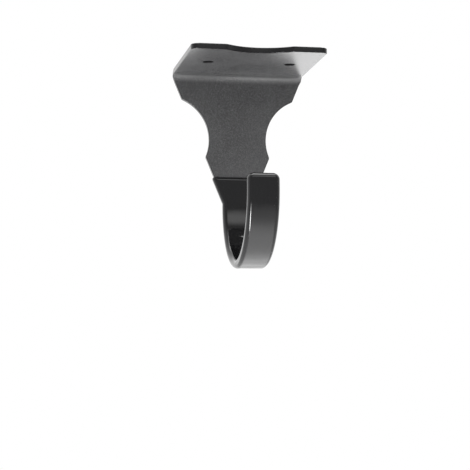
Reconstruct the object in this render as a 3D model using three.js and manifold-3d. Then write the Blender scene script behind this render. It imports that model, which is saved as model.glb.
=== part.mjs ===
// One-wheel bicycle hanger: a bracket bent from one steel blank, with a PVC coat on its hook end.
// Millimetres, +Z up. The origin lies on the face that is screwed to the ceiling, midway between
// the two screw holes. The hook opens towards -Y, and the part is symmetric in X.
import * as THREE from 'three';
import Module from 'manifold-3d';
import { mergeVertices } from 'three/addons/utils/BufferGeometryUtils.js';

// ---- Driving dimensions: the bracket ----
const sheetThickness = 4;
const bracketWidth = 101;
const flangeDepth = 95; // front edge to the plate's back face
const flangeCornerRadius = 5;
const bendRadius = 6; // inside of the bend between flange and plate
const holeDiameter = 8;
const holeSpacing = 62;
const holeSetback = 51; // hole centres to the plate's back face
const notchRadius = 40; // shallow scallop in the flange's front edge
const notchDepth = 8.5;
const taperStart = 6; // depths below the top face between which the blank narrows
const taperEnd = 104;
const neckWidth = 44.5; // plate width between the two side scallops
const scallopRadius = 33.5;
const scallopDrop = 54.3; // top face to the scallops' centres
const stripWidth = 20; // the narrow end of the blank, bent into the hook
const hookDrop = 105.5; // top face to the centre of the hook's U
const hookGap = 95; // clear between the bare steel faces of the U
const armRise = 9; // end of the front arm above the centre of the U
const armCornerRadius = 3;

// ---- Driving dimensions: the coat ----
const coatThickness = 1.6;
const coatGap = 0.3; // between the steel and the coat's inner surface
const coatEdgeRadius = 3.5;
const coatRise = 22; // upper edge of the coat on the plate, above the centre of the U

// ---- Finishes ----
const powderCoat = new THREE.MeshStandardMaterial({ color: 0x3a3a3b, roughness: 0.5, metalness: 0.1 });
const glossyPvc = new THREE.MeshStandardMaterial({ color: 0x141415, roughness: 0.15, metalness: 0 });

// ---- Places that follow from the dimensions ----
const plateBack = holeSetback;
const plateMiddle = plateBack - sheetThickness / 2;
const flangeFront = plateBack - flangeDepth;
const bendMiddle = bendRadius + sheetThickness / 2;
const bendY = plateMiddle - bendMiddle;
const bendZ = -sheetThickness - bendRadius;
const hookMiddle = (hookGap + sheetThickness) / 2;
const hookY = plateMiddle - hookMiddle;
const hookZ = -hookDrop;
const armTop = hookZ + armRise;
const coatTop = hookZ + coatRise;
const past = 10; // how far a cutter runs past the surface it cuts

// ---- Facets on round stretches ----
const bendFacets = 12;
const hookFacets = 40;
const tipFacets = 6;
const edgeFacets = 3;
const cornerFacets = 6;
const scallopFacets = 96;
const holeFacets = 40;

const wasm = await Module();
wasm.setup();

function toSolid(geometry) {
  geometry.deleteAttribute('normal');
  geometry.deleteAttribute('uv');
  const merged = mergeVertices(geometry);
  return new wasm.Manifold(new wasm.Mesh({
    numProp: 3,
    vertProperties: new Float32Array(merged.attributes.position.array),
    triVerts: new Uint32Array(merged.index.array),
  }));
}

function toMesh(name, solid, material) {
  const { vertProperties, triVerts } = solid.getMesh();
  const geometry = new THREE.BufferGeometry();
  geometry.setAttribute('position', new THREE.BufferAttribute(vertProperties, 3));
  geometry.setIndex(new THREE.BufferAttribute(triVerts, 1));
  geometry.computeVertexNormals();
  const mesh = new THREE.Mesh(geometry, material);
  mesh.name = name;
  return mesh;
}

// Points on an arc about (u, v), both ends included, each with the direction that points away
// from the centre. Angles are in degrees, counted from the first axis.
function arc(u, v, radius, fromAngle, toAngle, facets) {
  return Array.from({ length: facets + 1 }, (_, step) => {
    const angle = THREE.MathUtils.degToRad(fromAngle + ((toAngle - fromAngle) * step) / facets);
    const away = [Math.cos(angle), Math.sin(angle)];
    return { at: [u + radius * away[0], v + radius * away[1]], away };
  });
}

// ---- The blank: a row of stations along the middle of the sheet, each a place in (y, z), the
// direction of the sheet's outer side, and half the blank's width there ----

function blankHalfWidth(z) {
  const share = (-z - taperStart) / (taperEnd - taperStart);
  return THREE.MathUtils.lerp(bracketWidth, stripWidth, THREE.MathUtils.clamp(share, 0, 1)) / 2;
}

function flangeStations() {
  return [
    { at: [flangeFront, -sheetThickness / 2], away: [0, 1], half: bracketWidth / 2 },
    ...arc(bendY, bendZ, bendMiddle, 90, 0, bendFacets)
      .map((station) => ({ ...station, half: blankHalfWidth(station.at[1]) })),
  ];
}

// From the end of the taper under the U to the end of the arm. `grow` moves the end outwards.
// Seen from the front the end's corners have `cornerRadius`, and its long edges `endRadius`.
function hookStations(grow, cornerRadius, endRadius) {
  const end = armTop + grow;
  const tip = arc(0, end - cornerRadius, cornerRadius, 0, 90, tipFacets).map(({ at: [inset, z] }) => {
    const below = Math.min(end - z, endRadius);
    return {
      at: [hookY - hookMiddle, z],
      away: [-1, 0],
      half: stripWidth / 2,
      insetWidth: cornerRadius - inset,
      insetDepth: endRadius - Math.sqrt(below * (2 * endRadius - below)),
    };
  });
  return [
    { at: [plateMiddle, -taperEnd], away: [1, 0], half: stripWidth / 2 },
    ...arc(hookY, hookZ, hookMiddle, 0, -180, hookFacets)
      .map((station) => ({ ...station, half: stripWidth / 2 })),
    ...tip,
  ];
}

// The sheet's section at a station, grown by `grow`, as a ring of points with round corners.
function sectionRing({ at: [y, z], away: [awayY, awayZ], half, insetWidth = 0, insetDepth = 0 },
  grow, edgeRadius) {
  const width = half + grow - insetWidth;
  const depth = sheetThickness / 2 + grow - insetDepth;
  const radius = Math.min(edgeRadius, 0.9 * depth);
  return [0, 90, 180, 270].flatMap((start) => {
    const signX = start === 0 || start === 270 ? 1 : -1;
    const signDepth = start < 180 ? 1 : -1;
    const corner = radius > 0
      ? arc(signX * (width - radius), signDepth * (depth - radius), radius, start, start + 90, edgeFacets)
      : [{ at: [signX * width, signDepth * depth] }];
    return corner.map(({ at: [x, out] }) => new THREE.Vector3(x, y + awayY * out, z + awayZ * out));
  });
}

// A closed skin through the stations' rings, with a flat face at each end.
function sheet(stations, grow = 0, edgeRadius = 0) {
  const rings = stations.map((station) => sectionRing(station, grow, edgeRadius));
  const count = rings[0].length;
  const last = (rings.length - 1) * count;
  const index = [];
  for (let ring = 0; ring < rings.length - 1; ring += 1) {
    for (let point = 0; point < count; point += 1) {
      const a = ring * count + point;
      const b = ring * count + ((point + 1) % count);
      index.push(a, b + count, b, a, a + count, b + count);
    }
  }
  for (let point = 1; point < count - 1; point += 1) {
    index.push(0, point, point + 1, last, last + point + 1, last + point);
  }
  const geometry = new THREE.BufferGeometry().setFromPoints(rings.flat());
  geometry.setIndex(index);
  return toSolid(geometry);
}

// ---- Bracket ----

// What rounding takes off the flange's front corner on one side, as a cutter.
function flangeCornerCutter(side) {
  const radius = flangeCornerRadius;
  const x = bracketWidth / 2 - radius;
  const y = flangeFront + radius;
  const outline = [
    ...arc(x, y, radius, 0, -90, cornerFacets).map(({ at }) => at),
    [x, y - radius - past],
    [x + radius + past, y - radius - past],
    [x + radius + past, y],
  ].map(([u, v]) => new THREE.Vector2(side * u, v));
  const depth = sheetThickness + 2 * past;
  const geometry = new THREE.ExtrudeGeometry(new THREE.Shape(outline), { depth, bevelEnabled: false });
  return toSolid(geometry.translate(0, 0, -sheetThickness - past));
}

// Round cutters through the flange and through the plate.
function flangeCutter(radius, x, y, facets) {
  const geometry = new THREE.CylinderGeometry(radius, radius, 2 * (sheetThickness + past), facets);
  return toSolid(geometry.rotateX(Math.PI / 2).translate(x, y, 0));
}

function plateCutter(radius, x, z, facets) {
  const geometry = new THREE.CylinderGeometry(radius, radius, sheetThickness + 2 * past, facets);
  return toSolid(geometry.translate(x, plateMiddle, z));
}

function makeBracket() {
  const blank = sheet([...flangeStations(), ...hookStations(0, armCornerRadius, 0)]);
  const notchY = flangeFront + notchDepth - notchRadius;
  const scallopX = neckWidth / 2 + scallopRadius;
  const cutters = [-1, 1].flatMap((side) => [
    flangeCornerCutter(side),
    flangeCutter(holeDiameter / 2, (side * holeSpacing) / 2, 0, holeFacets),
    plateCutter(scallopRadius, side * scallopX, -scallopDrop, scallopFacets),
  ]);
  return [...cutters, flangeCutter(notchRadius, 0, notchY, scallopFacets)]
    .reduce((solid, cutter) => solid.subtract(cutter), blank);
}

// ---- Coat: a skin round the hook, open only at its upper edge on the plate ----

// The hook and the lower plate up to a height, grown into a solid.
function hookSolid(top, grow, edgeRadius) {
  const leg = { at: [plateMiddle, top], away: [1, 0], half: blankHalfWidth(top) };
  return sheet([leg, ...hookStations(grow, armCornerRadius + grow, edgeRadius)], grow, edgeRadius);
}

function makeCoat() {
  const outside = hookSolid(coatTop, coatGap + coatThickness, coatEdgeRadius);
  return outside.subtract(hookSolid(coatTop + past, coatGap, 0));
}

const hanger = new THREE.Group();
hanger.add(toMesh('steel_bracket', makeBracket(), powderCoat));
hanger.add(toMesh('hook_coat', makeCoat(), glossyPvc));

export default hanger;
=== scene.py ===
import math

import bpy
from mathutils import Matrix, Vector


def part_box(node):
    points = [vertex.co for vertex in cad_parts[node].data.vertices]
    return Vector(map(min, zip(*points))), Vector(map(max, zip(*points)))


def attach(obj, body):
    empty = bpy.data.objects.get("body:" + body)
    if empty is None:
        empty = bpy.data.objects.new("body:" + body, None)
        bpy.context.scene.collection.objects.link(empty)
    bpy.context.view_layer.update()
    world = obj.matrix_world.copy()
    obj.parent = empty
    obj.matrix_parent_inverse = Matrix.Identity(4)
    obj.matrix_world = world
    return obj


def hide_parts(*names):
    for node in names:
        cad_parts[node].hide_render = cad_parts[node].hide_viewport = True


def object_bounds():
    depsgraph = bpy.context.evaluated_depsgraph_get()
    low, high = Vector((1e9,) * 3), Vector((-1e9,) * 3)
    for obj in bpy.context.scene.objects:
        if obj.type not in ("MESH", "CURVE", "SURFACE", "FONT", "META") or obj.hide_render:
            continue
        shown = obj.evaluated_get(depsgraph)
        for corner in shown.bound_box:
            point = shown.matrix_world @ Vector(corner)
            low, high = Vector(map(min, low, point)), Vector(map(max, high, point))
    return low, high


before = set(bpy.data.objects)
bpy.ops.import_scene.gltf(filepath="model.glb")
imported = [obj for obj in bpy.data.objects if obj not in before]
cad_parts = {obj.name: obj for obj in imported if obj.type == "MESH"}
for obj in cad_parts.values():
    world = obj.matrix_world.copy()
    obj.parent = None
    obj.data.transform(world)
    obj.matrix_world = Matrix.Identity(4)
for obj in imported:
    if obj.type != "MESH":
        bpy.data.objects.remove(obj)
cad_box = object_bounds()

bl_info = {
    "name": "One-Wheel Bicycle Hanger",
    "version": (1, 0, 0),
    "blender": (4, 5, 0),
    "location": "3D View > Sidebar > Hanger",
    "description": "Builds a bent sheet-steel bicycle hanger with a soft coat on its hook",
    "category": "Add Mesh",
}

MM = 0.001

# How finely the meshes are laid out along the sheet.
FLAT_STEP = 2 * MM
PLATE_STEP = 1.2 * MM  # where the plate's sides curve
BEND_STEP = 0.8 * MM
HOOK_STEP = 1.62 * MM
COAT_STEP = 1.5 * MM
CORNER_ROWS = 8
HIDDEN_CORNER_ROWS = 6  # inside the coat
EDGE_STEPS = 5
HOLE_RINGS = (0.35, 0.65, 0.85, 1.0)  # shares of the way from a hole's square in to its rim

steel_low, steel_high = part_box("steel_bracket")
coat_low, coat_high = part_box("hook_coat")


# ---- Sizes and colours ----


def length(name, description, default):
    """A size in metres that a user may change."""
    return bpy.props.FloatProperty(
        name=name, description=description, default=default, min=0.0, precision=4, unit="LENGTH")


def colour(name, description, default):
    return bpy.props.FloatVectorProperty(
        name=name, description=description, default=default, size=3, min=0.0, max=1.0,
        subtype="COLOR")


def share(name, description, default):
    return bpy.props.FloatProperty(
        name=name, description=description, default=default, min=0.0, max=1.0, subtype="FACTOR")


def fineness(name, description, default):
    """How many lumps of a finish fit in a metre."""
    return bpy.props.FloatProperty(
        name=name, description=description + ", to the metre", default=default, min=0.0)


class BracketSizes(bpy.types.PropertyGroup):
    """Sizes of the bent steel blank."""

    width: length("Width", "Flange from side to side", steel_high.x - steel_low.x)
    flange_depth: length("Flange depth", "Front edge to the plate's back face", 95 * MM)
    sheet: length("Sheet", "Thickness of the steel", 4 * MM)
    bend_radius: length("Bend radius", "Inside of the bend under the flange", 6 * MM)
    corner_radius: length("Corner radius", "Front corners of the flange", 5 * MM)
    hole: length("Hole", "Diameter of the screw holes", 8 * MM)
    hole_spacing: length("Hole spacing", "Between the screw holes' centres", 62 * MM)
    notch_radius: length("Notch radius", "Shallow cut in the flange's front edge", 40 * MM)
    notch_depth: length("Notch depth", "Deepest point of the front cut", 8.5 * MM)
    taper_start: length("Taper start", "Top face to where the plate begins to narrow", 6 * MM)
    taper_end: length("Taper end", "Top face to where the plate is a strip", 104 * MM)
    neck: length("Neck", "Plate's width between the side scallops", 44.5 * MM)
    scallop_radius: length("Scallop radius", "Round cut in each side of the plate", 33.5 * MM)
    scallop_drop: length("Scallop drop", "Top face to the scallops' centres", 54.3 * MM)
    strip: length("Strip", "Width of the narrow end that forms the hook", 20 * MM)
    arm_rise: length("Arm rise", "End of the front arm above the hook's centre", 9 * MM)
    arm_corner: length("Arm corner", "Radius of the arm's end corners", 3 * MM)
    edge_round: length("Edge rounding", "Radius that the finish leaves on the cut edges", 0.55 * MM)
    cusp_round: length("Cusp rounding", "Softness of the points where two cuts meet", 0.8 * MM)


class CoatSizes(bpy.types.PropertyGroup):
    """Sizes of the soft coat on the hook."""

    wall: length("Wall", "Thickness of the coat over the steel", steel_low.z - coat_low.z)
    edge_round: length("Edge rounding", "Radius along the coat's edges", 3.8 * MM)
    lip: length("Lip", "Length over which the coat's upper edge thins out", 2.5 * MM)
    fit: length("Fit", "Between the steel and the coat's inside", 0.05 * MM)


class Finishes(bpy.types.PropertyGroup):
    """Colours and sheen of the two finishes."""

    powder: colour("Powder coat", "Colour of the powder coat", (0.034, 0.034, 0.035))
    powder_grain: colour("Powder grain", "Colour of its lighter grains", (0.1, 0.1, 0.102))
    edge: colour("Cut edges", "Colour of the powder coat on the cut edges", (0.007, 0.007, 0.0075))
    powder_roughness: share("Powder roughness", "Roughness of the flat faces", 0.5)
    edge_roughness: share("Edge roughness", "Roughness of the cut edges", 0.25)
    powder_gloss_roughness: share("Powder gloss", "Roughness of the powder coat's clear skin", 0.24)
    grains: fineness("Grains", "Grains of the powder coat", 1900)
    grain_height: length("Grain height", "Height of the grains", 0.04 * MM)
    ripples: fineness("Ripples", "Ripples under the powder coat's grain", 420)
    clouds: fineness("Clouds", "Lighter patches of the powder coat", 28)
    pvc: colour("Soft coat", "Colour of the soft coat", (0.006, 0.006, 0.0065))
    pvc_roughness: share("Soft coat roughness", "Roughness of the soft coat", 0.06)
    waves: fineness("Waves", "Waves in the soft coat", 70)
    wave_height: length("Wave height", "Height of the soft coat's waves", 0.25 * MM)
    haze: fineness("Haze", "Duller patches of the soft coat", 240)
    dust: fineness("Dust", "Places for a speck of dust on the soft coat", 2200)
    dust_colour: colour("Dust colour", "Colour of the specks", (0.024, 0.024, 0.026))


class StageSettings(bpy.types.PropertyGroup):
    """Floor and camera."""

    floor_drop: length("Floor drop", "Top of the hanger to the floor", 0.9)
    floor_radius: length("Floor radius", "Radius of the round floor", 3.0)
    floor_solid: share("Solid floor", "Share of that radius within which it doesn't fade", 0.3)
    floor_colour: colour("Floor", "Colour of the floor", (0.86, 0.86, 0.86))
    camera_distance: length("Camera distance", "Camera to the point it looks at", 1.2764)
    camera_aim: bpy.props.FloatVectorProperty(
        name="Camera aim", description="Point it looks at, from the middle of the steel's bottom",
        default=(-11.9 * MM, -2 * MM, 23 * MM), subtype="TRANSLATION")
    camera_yaw: bpy.props.FloatProperty(
        name="Camera yaw", description="Turn of the view from straight ahead to the right",
        default=math.radians(10.73), subtype="ANGLE")
    camera_pitch: bpy.props.FloatProperty(
        name="Camera pitch", description="Tilt of the view upwards",
        default=math.radians(6.8), subtype="ANGLE")
    camera_roll: bpy.props.FloatProperty(
        name="Camera roll", description="Turn of the view about its own axis",
        default=math.radians(-0.35), subtype="ANGLE")
    lens: bpy.props.FloatProperty(
        name="Lens", description="Focal length in millimetres", default=132.45, min=1.0,
        subtype="DISTANCE_CAMERA")


# ---- Shader nodes as expressions ----


class Value:
    """A socket that carries a number, so that Python's operators add Math nodes to its tree."""

    def __init__(self, shader, socket):
        self.shader = shader
        self.socket = socket

    def math(self, operation, *values):
        """A Math node that works on values or plain numbers."""
        settings = {"operation": operation}
        return self.shader.node("ShaderNodeMath", settings, dict(enumerate(values))).value()

    def __add__(self, other):
        return self.math("ADD", self, other)

    def __sub__(self, other):
        return self.math("SUBTRACT", self, other)

    def __mul__(self, other):
        return self.math("MULTIPLY", self, other)

    def __rsub__(self, other):
        return self.math("SUBTRACT", other, self)

    __radd__ = __add__
    __rmul__ = __mul__


class Node:
    """A node that was added to a tree, with its outputs by name or number."""

    def __init__(self, shader, outputs):
        self.shader = shader
        self.outputs = outputs

    def value(self, output=0):
        """An output that carries a number."""
        return Value(self.shader, self.outputs[output])

    def socket(self, output=0):
        """An output that carries a colour, a vector or a shader."""
        return self.outputs[output]


class Shader:
    """A node tree, emptied and filled again by one method."""

    def __init__(self, owner):
        owner.use_nodes = True
        self.tree = owner.node_tree
        self.tree.nodes.clear()

    def node(self, kind, settings=None, inputs=None):
        """Adds a node: its settings first, then its sockets' values or links."""
        made = self.tree.nodes.new(kind)
        for name, value in (settings or {}).items():
            setattr(made, name, value)
        for name, value in (inputs or {}).items():
            source = value.socket if isinstance(value, Value) else value
            if isinstance(source, bpy.types.NodeSocket):
                self.tree.links.new(source, made.inputs[name])
            else:
                made.inputs[name].default_value = source
        return Node(self, made.outputs)

    def steps(self, value, low, high):
        """0 below `low`, 1 above `high`, and a smooth rise between them."""
        inputs = {"Value": value, "From Min": low, "From Max": high}
        return self.node("ShaderNodeMapRange", {"interpolation_type": "SMOOTHSTEP"}, inputs).value()

    def noise(self, where, scale, detail, roughness=0.5):
        """Soft noise from 0 to 1, with about `scale` lumps to the metre."""
        inputs = {"Vector": where, "Scale": scale, "Detail": detail, "Roughness": roughness}
        return self.node("ShaderNodeTexNoise", {}, inputs).value("Fac")

    def mix(self, factor, first, second):
        """A colour between two colours."""
        inputs = {0: factor, 6: first, 7: second}
        return self.node("ShaderNodeMix", {"data_type": "RGBA"}, inputs).socket(2)

    def bump(self, height, distance):
        """A normal for a surface as high as `distance` where the height is 1."""
        return self.node("ShaderNodeBump", {}, {"Distance": distance, "Height": height}).socket()

    def surface(self, inputs):
        """Ends a material in one Principled shader with these inputs."""
        principled = self.node("ShaderNodeBsdfPrincipled", {}, inputs)
        self.node("ShaderNodeOutputMaterial", {}, {"Surface": principled.socket()})


def opaque(rgb):
    """A colour as a shader's socket takes it."""
    return (*rgb, 1.0)


def powder_coat(finishes):
    """Satin black powder coat with a fine sandy grain, smoother on the sheet's cut edges."""
    material = bpy.data.materials.new("powder_coat")
    shader = Shader(material)
    where = shader.node("ShaderNodeTexCoord").socket("Object")
    cut_edge = shader.node("ShaderNodeAttribute", {"attribute_name": "cut_edge"}).value("Fac")
    grain = shader.noise(where, finishes.grains, 2.0, 0.6)
    ripple = shader.noise(where, finishes.ripples, 1.0)
    cloud = shader.noise(where, finishes.clouds, 3.0)
    specks = shader.steps(grain, 0.42, 0.72)
    lightness = specks * 0.8 + shader.steps(cloud, 0.3, 0.7) * 0.2
    roughness = finishes.powder_roughness + (grain - 0.5) * 0.15 + (cloud - 0.5) * 0.08
    face_colour = shader.mix(lightness, opaque(finishes.powder), opaque(finishes.powder_grain))
    smoothing = finishes.powder_roughness - finishes.edge_roughness
    height = (grain * 0.55 + ripple * 0.45) * (1 - cut_edge * 0.7)
    shader.surface({
        "Base Color": shader.mix(cut_edge, face_colour, opaque(finishes.edge)),
        "Roughness": roughness - cut_edge * smoothing,
        "Specular IOR Level": 0.1,
        "Normal": shader.bump(height, finishes.grain_height),
        "Coat Weight": 1 - cut_edge * 0.5,
        "Coat Roughness": finishes.powder_gloss_roughness,
    })
    return material


def soft_pvc(finishes):
    """Glossy black dipped PVC, with the slow waviness of a coat that ran before it set."""
    material = bpy.data.materials.new("soft_pvc")
    shader = Shader(material)
    where = shader.node("ShaderNodeTexCoord").socket("Object")
    waves = shader.noise(where, finishes.waves, 1.0)
    haze = shader.noise(where, finishes.haze, 3.0, 0.6)
    dust = shader.steps(shader.noise(where, finishes.dust, 1.0), 0.7, 0.78)
    shader.surface({
        "Base Color": shader.mix(dust * 0.5, opaque(finishes.pvc), opaque(finishes.dust_colour)),
        "Roughness": finishes.pvc_roughness + (haze - 0.5) * 0.04 + dust * 0.1,
        "Normal": shader.bump(waves, finishes.wave_height),
    })
    return material


# ---- The sheet's middle line, seen from the side ----


class MiddleLine:
    """Flat runs and bends laid end to end. It starts towards +Y, and every bend turns it the
    same way: down, then forwards, then up."""

    def __init__(self, y, z, runs):
        self.runs = []
        heading = 0.0
        along = 0.0
        for run_length, radius in runs:
            self.runs.append((along, y, z, heading, radius))
            y, z, heading = self._step(y, z, heading, radius, run_length)
            along += run_length
        self.length = along

    @staticmethod
    def _step(y, z, heading, radius, distance):
        """The place and heading a distance further on. Radius 0 stands for a flat run."""
        if not radius:
            return y + distance * math.cos(heading), z + distance * math.sin(heading), heading
        turned = heading - distance / radius
        y += radius * (math.sin(heading) - math.sin(turned))
        z += radius * (math.cos(turned) - math.cos(heading))
        return y, z, turned

    def at(self, along):
        """The place (y, z) and the heading at a distance along the line."""
        reached = [run for run in self.runs if run[0] <= along]
        start, y, z, heading, radius = reached[-1] if reached else self.runs[0]
        return self._step(y, z, heading, radius, along - start)

    def place(self, x, along, out):
        """A point of the bent sheet: across, along, and outwards from its middle."""
        y, z, heading = self.at(along)
        return Vector((x, y - out * math.sin(heading), z + out * math.cos(heading)))


class Blank:
    """The hanger's flat pattern: its middle line and its width along it."""

    def __init__(self, sizes):
        self.sizes = sizes
        half_sheet = sizes.sheet / 2
        bend = sizes.bend_radius + half_sheet
        hook_outer = (steel_high.y - steel_low.y) / 2
        self.hook_z = steel_low.z + hook_outer
        flange_flat = sizes.flange_depth - half_sheet - bend
        leg = -self.hook_z - half_sheet - bend
        hook = hook_outer - half_sheet
        self.bend_start = flange_flat
        self.leg_start = flange_flat + bend * math.pi / 2
        self.hook_start = self.leg_start + leg
        self.arm_start = self.hook_start + hook * math.pi
        front = steel_high.y - sizes.flange_depth
        self.hole_along = -front
        self.line = MiddleLine(front, -half_sheet, [
            (flange_flat, 0), (bend * math.pi / 2, bend), (leg, 0), (hook * math.pi, hook),
            (sizes.arm_rise, 0)])
        self.length = self.line.length

    def half_width(self, along):
        """Half of the pattern's width, before the corners at its two ends are rounded."""
        sizes = self.sizes
        if along >= self.hook_start:
            return sizes.strip / 2
        depth = -self.line.at(along)[1]
        narrowed = (depth - sizes.taper_start) / (sizes.taper_end - sizes.taper_start)
        narrowed = min(max(narrowed, 0.0), 1.0)
        half = (sizes.width * (1 - narrowed) + sizes.strip * narrowed) / 2
        beside = abs(depth - sizes.scallop_drop)
        if along <= self.leg_start or beside >= sizes.scallop_radius:
            return half
        cut = sizes.neck / 2 + corner_inset(sizes.scallop_radius, sizes.scallop_radius - beside)
        return soft_least(half, cut, sizes.cusp_round)

    def notch(self, x):
        """How far the shallow cut takes back the front edge."""
        sizes = self.sizes
        deepest = sizes.notch_radius - sizes.notch_depth
        cut = math.sqrt(max(sizes.notch_radius ** 2 - x * x, 0.0)) - deepest
        return -soft_least(0.0, -cut, sizes.cusp_round)


def corner_inset(radius, distance):
    """How far a round corner draws in the side, at a distance from the end it leads to."""
    if distance >= radius:
        return 0.0
    return radius - math.sqrt(max(radius ** 2 - (radius - distance) ** 2, 0.0))


def soft_least(a, b, blend):
    """The lesser of two lengths, with their crossing rounded off."""
    near = max(blend - abs(a - b), 0.0) / blend
    return min(a, b) - near * near * blend / 4


def spread(start, end, step):
    """Even places from start up to end, which is left out."""
    count = max(1, round((end - start) / step))
    return [start + (end - start) * index / count for index in range(count)]


def round_spread(radius, count):
    """Distances from a rounded end, spaced evenly along its corner."""
    return [radius * (1 - math.cos(math.pi / 2 * index / count)) for index in range(count)]


# ---- Meshes ----


def piece(name, points, faces, material):
    """A smooth mesh object in the hanger's frame, with faces that point outwards."""
    mesh = bpy.data.meshes.new(name)
    mesh.from_pydata(points, [], faces)
    mesh.validate()
    mesh.shade_smooth()
    mesh.materials.append(material)
    made = bpy.data.objects.new(name, mesh)
    bpy.context.scene.collection.objects.link(made)
    normals = made.modifiers.new("even shading", "WEIGHTED_NORMAL")
    normals.weight = 100
    return made


def outward_normals(points):
    """Unit normals of a flat counter-clockwise loop, which point out of what it encloses."""
    normals = []
    for index, _ in enumerate(points):
        before = points[index - 1]
        after = points[(index + 1) % len(points)]
        tangent = Vector(after) - Vector(before)
        normals.append(Vector((tangent.y, -tangent.x)).normalized())
    return normals


class FlatSkin:
    """One broad face of the sheet as a flat mesh, with the loops that bound it."""

    def __init__(self):
        self.points = []
        self.faces = []
        self.loops = []

    def add(self, x, along):
        self.points.append(Vector((x, along)))
        return len(self.points) - 1


def bracket_skin(blank, cells=10):
    """The flat pattern as rows across the blank. A square round each screw hole, twice as wide as
    the hole, has `cells` rows and columns."""
    sizes = blank.sizes
    start, end = blank.hole_along - sizes.hole, blank.hole_along + sizes.hole
    half = sizes.width / 2
    columns = []
    first_columns = []
    reached = -half
    for hole_x in (-sizes.hole_spacing / 2, sizes.hole_spacing / 2):
        columns += spread(reached, hole_x - sizes.hole, FLAT_STEP)
        first_columns.append(len(columns))
        reached = hole_x + sizes.hole
        columns += spread(hole_x - sizes.hole, reached, 2 * sizes.hole / cells)
    columns += spread(reached, half, FLAT_STEP)
    columns = [x / half for x in columns + [half]]
    rows = round_spread(sizes.corner_radius, CORNER_ROWS)
    rows += spread(sizes.corner_radius, start, FLAT_STEP)
    first_row = len(rows)
    rows += spread(start, end, (end - start) / cells)
    rows += spread(end, blank.bend_start, FLAT_STEP)
    rows += spread(blank.bend_start, blank.leg_start, BEND_STEP)
    rows += spread(blank.leg_start, blank.hook_start, PLATE_STEP)
    rows += spread(blank.hook_start, blank.arm_start, HOOK_STEP)
    rows += spread(blank.arm_start, blank.length - sizes.arm_corner, FLAT_STEP)
    rows += [blank.length - inset for inset in reversed(round_spread(sizes.arm_corner, CORNER_ROWS))]
    skin = FlatSkin()
    grid = []
    for along in rows:
        inset = corner_inset(sizes.corner_radius, along)
        inset += corner_inset(sizes.arm_corner, blank.length - along)
        reach = blank.half_width(along) - inset
        fade = max(1 - along / start, 0.0)  # the front cut moves no row from the holes on
        grid.append([skin.add(reach * x, along + fade * blank.notch(reach * x)) for x in columns])
    inside = set()
    for first_column in first_columns:
        inside |= {(first_row + row, first_column + column)
                   for row in range(cells) for column in range(cells)}
        add_hole(skin, blank, grid, first_row, first_column, cells)
    for row in range(len(rows) - 1):
        for column in range(len(columns) - 1):
            if (row, column) not in inside:
                skin.faces.append((
                    grid[row][column], grid[row][column + 1],
                    grid[row + 1][column + 1], grid[row + 1][column]))
    outer = list(grid[0])
    outer += [line[-1] for line in grid[1:]]
    outer += list(reversed(grid[-1][:-1]))
    outer += [line[0] for line in reversed(grid[1:-1])]
    skin.loops.append(outer)
    return skin


def add_hole(skin, blank, grid, first_row, first_column, cells):
    """Rings of faces from the square of the grid round a hole in to its rim, and its loop."""
    rows = range(cells)
    square = [grid[first_row][first_column + step] for step in rows]
    square += [grid[first_row + step][first_column + cells] for step in rows]
    square += [grid[first_row + cells][first_column + cells - step] for step in rows]
    square += [grid[first_row + cells - step][first_column] for step in rows]
    centre = sum((skin.points[index] for index in square), Vector((0, 0))) / len(square)
    rings = [square]
    for part in HOLE_RINGS:
        ring = []
        for index in square:
            away = skin.points[index] - centre
            rim = away.normalized() * blank.sizes.hole / 2
            ring.append(skin.add(*(centre + away.lerp(rim, part))))
        rings.append(ring)
    for outer, inner in zip(rings, rings[1:]):
        for index in range(len(square)):
            after = (index + 1) % len(square)
            skin.faces.append((outer[index], outer[after], inner[after], inner[index]))
    skin.loops.append(list(reversed(rings[-1])))


def folded_sheet(skin, blank):
    """The skin on both sides of the sheet, joined round every loop by a rounded cut edge. Gives
    points, faces, and which points lie on a cut edge."""
    sizes = blank.sizes
    flat = [point.copy() for point in skin.points]
    radius = sizes.edge_round
    quarter = [math.pi / 2 * step / EDGE_STEPS for step in range(EDGE_STEPS + 1)]
    upper = [(radius * math.sin(turn), sizes.sheet / 2 - radius * (1 - math.cos(turn)))
             for turn in quarter]
    profile = upper + [(out, -level) for out, level in reversed(upper)]
    normals = [outward_normals([skin.points[index] for index in loop]) for loop in skin.loops]
    for loop, loop_normals in zip(skin.loops, normals):
        for index, normal in zip(loop, loop_normals):
            flat[index] -= normal * radius
    count = len(flat)
    points = [blank.line.place(*point, sizes.sheet / 2) for point in flat]
    points += [blank.line.place(*point, -sizes.sheet / 2) for point in flat]
    faces = list(skin.faces)
    faces += [tuple(count + index for index in reversed(face)) for face in skin.faces]
    for loop, loop_normals in zip(skin.loops, normals):
        rings = [loop]
        for out, level in profile[1:-1]:
            ring = []
            for index, normal in zip(loop, loop_normals):
                points.append(blank.line.place(*(flat[index] + normal * out), level))
                ring.append(len(points) - 1)
            rings.append(ring)
        rings.append([count + index for index in loop])
        for above, below in zip(rings, rings[1:]):
            for index in range(len(loop)):
                after = (index + 1) % len(loop)
                faces.append((above[index], below[index], below[after], above[after]))
    cut_edge = [0.0] * (2 * count) + [1.0] * (len(points) - 2 * count)
    return points, faces, cut_edge


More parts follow.
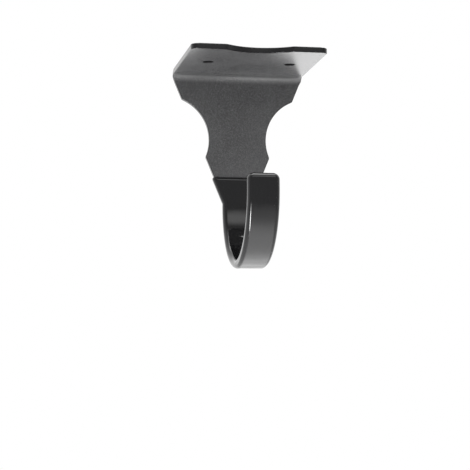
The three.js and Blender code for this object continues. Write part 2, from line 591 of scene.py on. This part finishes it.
def section(half_width, half_depth, radius, corner_steps=8, flat_steps=(6, 2)):
    """A rounded rectangle as (across, out) points, counter-clockwise, the same number on each
    side whatever its size."""
    most = 0.98 * min(half_depth, half_width)  # leaves a narrow flat on every side
    radius = min(radius, most)
    corners = []
    for quarter in range(4):
        sign_x = 1 if quarter in (0, 3) else -1
        sign_out = 1 if quarter < 2 else -1
        centre = Vector((sign_x * (half_width - radius), sign_out * (half_depth - radius)))
        turns = [math.pi / 2 * (quarter + step / corner_steps) for step in range(corner_steps + 1)]
        corners.append([centre + radius * Vector((math.cos(turn), math.sin(turn)))
                        for turn in turns])
    ring = []
    for quarter, corner in enumerate(corners):
        ring += corner
        next_start = corners[(quarter + 1) % 4][0]
        steps = flat_steps[quarter % 2]
        ring += [corner[-1].lerp(next_start, step / steps) for step in range(1, steps)]
    return ring


def coat_rings(blank, coat):
    """Rings from the coat's inside end out over the lip to its outside end."""
    sizes = blank.sizes
    tip = blank.length + coat.wall
    lip_start = blank.hook_start - (coat_high.z - blank.hook_z)
    corner = sizes.arm_corner + coat.wall

    def ring(along, grow, end, corner_radius, end_radius, long_edge_radius):
        """The section at a place: its sides draw in by `corner_radius` towards `end`, and its
        faces by `end_radius`."""
        half_width = blank.half_width(along) + grow - corner_inset(corner_radius, end - along)
        half_depth = sizes.sheet / 2 + grow - corner_inset(end_radius, end - along)
        outline = section(half_width, half_depth, long_edge_radius)
        return [blank.line.place(across, along, out) for across, out in outline]

    def grown(along):
        """How far the coat stands off the steel, which lessens over its lip."""
        thinned = corner_inset(1.0, (along - lip_start) / coat.lip)
        return coat.fit + (coat.wall - coat.fit) * (1 - thinned)

    def edge_radius(along):
        """The radius along the coat's long edges, at most 2.5 times what it stands off."""
        return min(coat.edge_round, 2.5 * grown(along))

    body = spread(lip_start + coat.lip, blank.hook_start, COAT_STEP)
    body += spread(blank.hook_start, blank.arm_start, HOOK_STEP)
    inner_end = blank.length + coat.fit
    inner = [lip_start, lip_start + coat.lip, *body[1:]]
    inner += spread(blank.arm_start, inner_end - sizes.arm_corner, FLAT_STEP)
    inner_corner = round_spread(sizes.arm_corner, HIDDEN_CORNER_ROWS)
    inner += [inner_end - inset for inset in reversed(inner_corner)]
    outer = [lip_start + inset for inset in round_spread(coat.lip, CORNER_ROWS)[1:]]
    outer += body
    outer += spread(blank.arm_start, tip - corner, COAT_STEP)
    outer += [tip - inset for inset in reversed(round_spread(corner, 2 * CORNER_ROWS))]
    rings = [ring(along, coat.fit, inner_end, sizes.arm_corner, 0.0, sizes.edge_round)
             for along in reversed(inner)]
    rings += [ring(along, grown(along), tip, corner, coat.edge_round, edge_radius(along))
              for along in outer]
    return rings


def swept_skin(rings):
    """Points and faces of a closed skin through the rings, with a row of quads at each end."""
    count = len(rings[0])
    points = [point for ring in rings for point in ring]
    faces = []
    for ring in range(len(rings) - 1):
        for index in range(count):
            here = ring * count + index
            beside = ring * count + (index + 1) % count
            faces.append((here, here + count, beside + count, beside))
    last = (len(rings) - 1) * count
    for index in range(count // 2 - 1):
        first = (index, index + 1, count - 2 - index, count - 1 - index)
        faces.append(first)
        faces.append(tuple(last + corner for corner in reversed(first)))
    return points, faces


# ---- Stage ----

BOX_FADE = 0.4  # share of a soft box's side over which it fades


def soft_box(name, location, size, radiance, aim=None):
    """A rectangular light that faces the hanger, or `aim`, and isn't itself in view. It fades
    over the outer part of its sides, so that a glossy surface mirrors no hard outline."""
    light = bpy.data.lights.new(name, "AREA")
    light.shape = "RECTANGLE"
    light.size, light.size_y = size
    light.energy = radiance * math.pi * size[0] * size[1]
    shader = Shader(light)
    place = shader.node("ShaderNodeNewGeometry").socket("Parametric")
    apart = shader.node("ShaderNodeSeparateXYZ", {}, {0: place})
    strength = 1.0
    for axis in ("X", "Y"):
        for inset in (apart.value(axis), 1 - apart.value(axis)):
            strength = shader.steps(inset, 0.0, BOX_FADE) * strength
    emission = shader.node("ShaderNodeEmission", {}, {"Strength": strength})
    shader.node("ShaderNodeOutputLight", {}, {"Surface": emission.socket()})
    made = bpy.data.objects.new(name, light)
    made.location = location
    aim = Vector(aim) if aim else (cad_box[0] + cad_box[1]) / 2
    made.rotation_euler = (aim - made.location).to_track_quat("-Z", "Y").to_euler()
    made.visible_camera = False
    bpy.context.scene.collection.objects.link(made)


def studio_surroundings(glow=0.22, dimming=0.82):
    """Plain white to the camera. What it casts on the hanger is brighter than white by `glow`, and
    fades by `dimming` towards the front."""
    world = bpy.data.worlds.new("studio")
    bpy.context.scene.world = world
    shader = Shader(world)
    direction = shader.node("ShaderNodeTexCoord").socket("Generated")
    forward = shader.node(
        "ShaderNodeVectorMath", {"operation": "DOT_PRODUCT"}, {0: direction, 1: (0, -1, 0)})
    front = shader.steps(forward.value("Value"), -0.45, 0.6)
    seen = shader.node("ShaderNodeLightPath").value("Is Camera Ray")
    strength = 1 + (1 - seen) * (glow - front * dimming)
    white = opaque((1, 1, 1))
    background = shader.node("ShaderNodeBackground", {}, {"Color": white, "Strength": strength})
    shader.node("ShaderNodeOutputWorld", {}, {"Surface": background.socket()})


def studio_lights():
    """Soft boxes round the hanger. The two close to the floor face straight up."""
    soft_box("light_below", (0.15, 0.0, -0.88), (0.9, 2.2), 1.4, (0.15, 0.0, 0))
    soft_box("light_below_back", (0.2, 0.95, -0.88), (0.9, 1.7), 1.35, (0.2, 0.95, 0))
    soft_box("light_above", (0, 0, 1.1), (1.8, 1.8), 5.0)
    soft_box("light_front", (0.2, -1.5, 0.85), (2.0, 1.2), 1.5)
    soft_box("light_key", (-0.37, -0.58, -0.69), (0.19, 0.95), 50.0)
    soft_box("light_back_right", (0.6, 1.6, -0.5), (1.8, 1.5), 0.6)
    soft_box("light_back_left", (-0.9, 1.5, -0.2), (1.2, 1.0), 1.5)


def pale_floor(stage):
    """A round floor that fades out towards its rim, low enough to leave the view from below
    open."""
    count = 96
    turns = [2 * math.pi * step / count for step in range(count)]
    level_z = steel_high.z - stage.floor_drop
    rim = [(stage.floor_radius * math.cos(turn), stage.floor_radius * math.sin(turn), level_z)
           for turn in turns]
    mesh = bpy.data.meshes.new("floor")
    mesh.from_pydata(rim, [], [tuple(range(count))])
    material = bpy.data.materials.new("pale_floor")
    shader = Shader(material)
    where = shader.node("ShaderNodeTexCoord").socket("Object")
    flat = shader.node("ShaderNodeVectorMath", {"operation": "MULTIPLY"}, {0: where, 1: (1, 1, 0)})
    reach = shader.node("ShaderNodeVectorMath", {"operation": "LENGTH"}, {0: flat.socket()})
    solid = stage.floor_radius * stage.floor_solid
    rim_fade = shader.steps(reach.value("Value"), solid, stage.floor_radius)
    shader.surface({
        "Base Color": opaque(stage.floor_colour),
        "Roughness": 0.9,
        "Alpha": 1 - rim_fade,
    })
    mesh.materials.append(material)
    floor = bpy.data.objects.new("floor", mesh)
    bpy.context.scene.collection.objects.link(floor)


def camera(stage):
    """The camera looks up at the hook from the front, a little to the left."""
    data = bpy.data.cameras.new("camera")
    data.lens = stage.lens
    made = bpy.data.objects.new("camera", data)
    hook_middle = (steel_low.y + steel_high.y) / 2
    target = Vector((0, hook_middle, steel_low.z)) + Vector(stage.camera_aim)
    turn = (Matrix.Rotation(-stage.camera_yaw, 4, "Z")
            @ Matrix.Rotation(math.pi / 2 + stage.camera_pitch, 4, "X")
            @ Matrix.Rotation(stage.camera_roll, 4, "Z"))
    back = turn @ Vector((0, 0, 1))
    made.matrix_world = Matrix.Translation(target + back * stage.camera_distance) @ turn
    bpy.context.scene.collection.objects.link(made)
    bpy.context.scene.camera = made


# ---- Operators, panel and registration ----


class HANGER_OT_bracket(bpy.types.Operator):
    """Build the bent steel bracket"""

    bl_idname = "hanger.bracket"
    bl_label = "Steel Bracket"

    def execute(self, context):
        scene = context.scene
        blank = Blank(scene.hanger_bracket)
        points, faces, cut_edge = folded_sheet(bracket_skin(blank), blank)
        made = piece("bent_bracket", points, faces, powder_coat(scene.hanger_finishes))
        attribute = made.data.attributes.new("cut_edge", "FLOAT", "POINT")
        attribute.data.foreach_set("value", cut_edge)
        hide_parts("steel_bracket")
        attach(made, "root")
        return {"FINISHED"}


class HANGER_OT_coat(bpy.types.Operator):
    """Build the soft coat on the hook"""

    bl_idname = "hanger.coat"
    bl_label = "Hook Coat"

    def execute(self, context):
        scene = context.scene
        blank = Blank(scene.hanger_bracket)
        points, faces = swept_skin(coat_rings(blank, scene.hanger_coat))
        made = piece("dipped_coat", points, faces, soft_pvc(scene.hanger_finishes))
        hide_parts("hook_coat")
        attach(made, "root")
        return {"FINISHED"}


class HANGER_OT_stage(bpy.types.Operator):
    """Set up the floor, the lights and the camera"""

    bl_idname = "hanger.stage"
    bl_label = "Stage"

    def execute(self, context):
        stage = context.scene.hanger_stage
        context.scene.view_settings.view_transform = "Standard"
        studio_surroundings()
        studio_lights()
        pale_floor(stage)
        camera(stage)
        return {"FINISHED"}


class HANGER_PT_panel(bpy.types.Panel):
    """The hanger's sizes, finishes and pieces"""

    bl_idname = "HANGER_PT_panel"
    bl_label = "Bicycle Hanger"
    bl_space_type = "VIEW_3D"
    bl_region_type = "UI"
    bl_category = "Hanger"

    def draw(self, context):
        scene = context.scene
        for group in (scene.hanger_bracket, scene.hanger_coat, scene.hanger_finishes,
                      scene.hanger_stage):
            box = self.layout.box()
            for name in group.__annotations__:
                box.prop(group, name)
        for operator in OPERATORS:
            self.layout.operator(operator.bl_idname)


GROUPS = {
    "hanger_bracket": BracketSizes,
    "hanger_coat": CoatSizes,
    "hanger_finishes": Finishes,
    "hanger_stage": StageSettings,
}
OPERATORS = (HANGER_OT_bracket, HANGER_OT_coat, HANGER_OT_stage)
CLASSES = (*GROUPS.values(), *OPERATORS, HANGER_PT_panel)


def register():
    for made in CLASSES:
        bpy.utils.register_class(made)
    for name, group in GROUPS.items():
        setattr(bpy.types.Scene, name, bpy.props.PointerProperty(type=group))


def unregister():
    for name in GROUPS:
        delattr(bpy.types.Scene, name)
    for made in reversed(CLASSES):
        bpy.utils.unregister_class(made)


def main():
    register()
    bpy.ops.hanger.stage()
    bpy.ops.hanger.bracket()
    bpy.ops.hanger.coat()


if __name__ == "__main__":
    main()
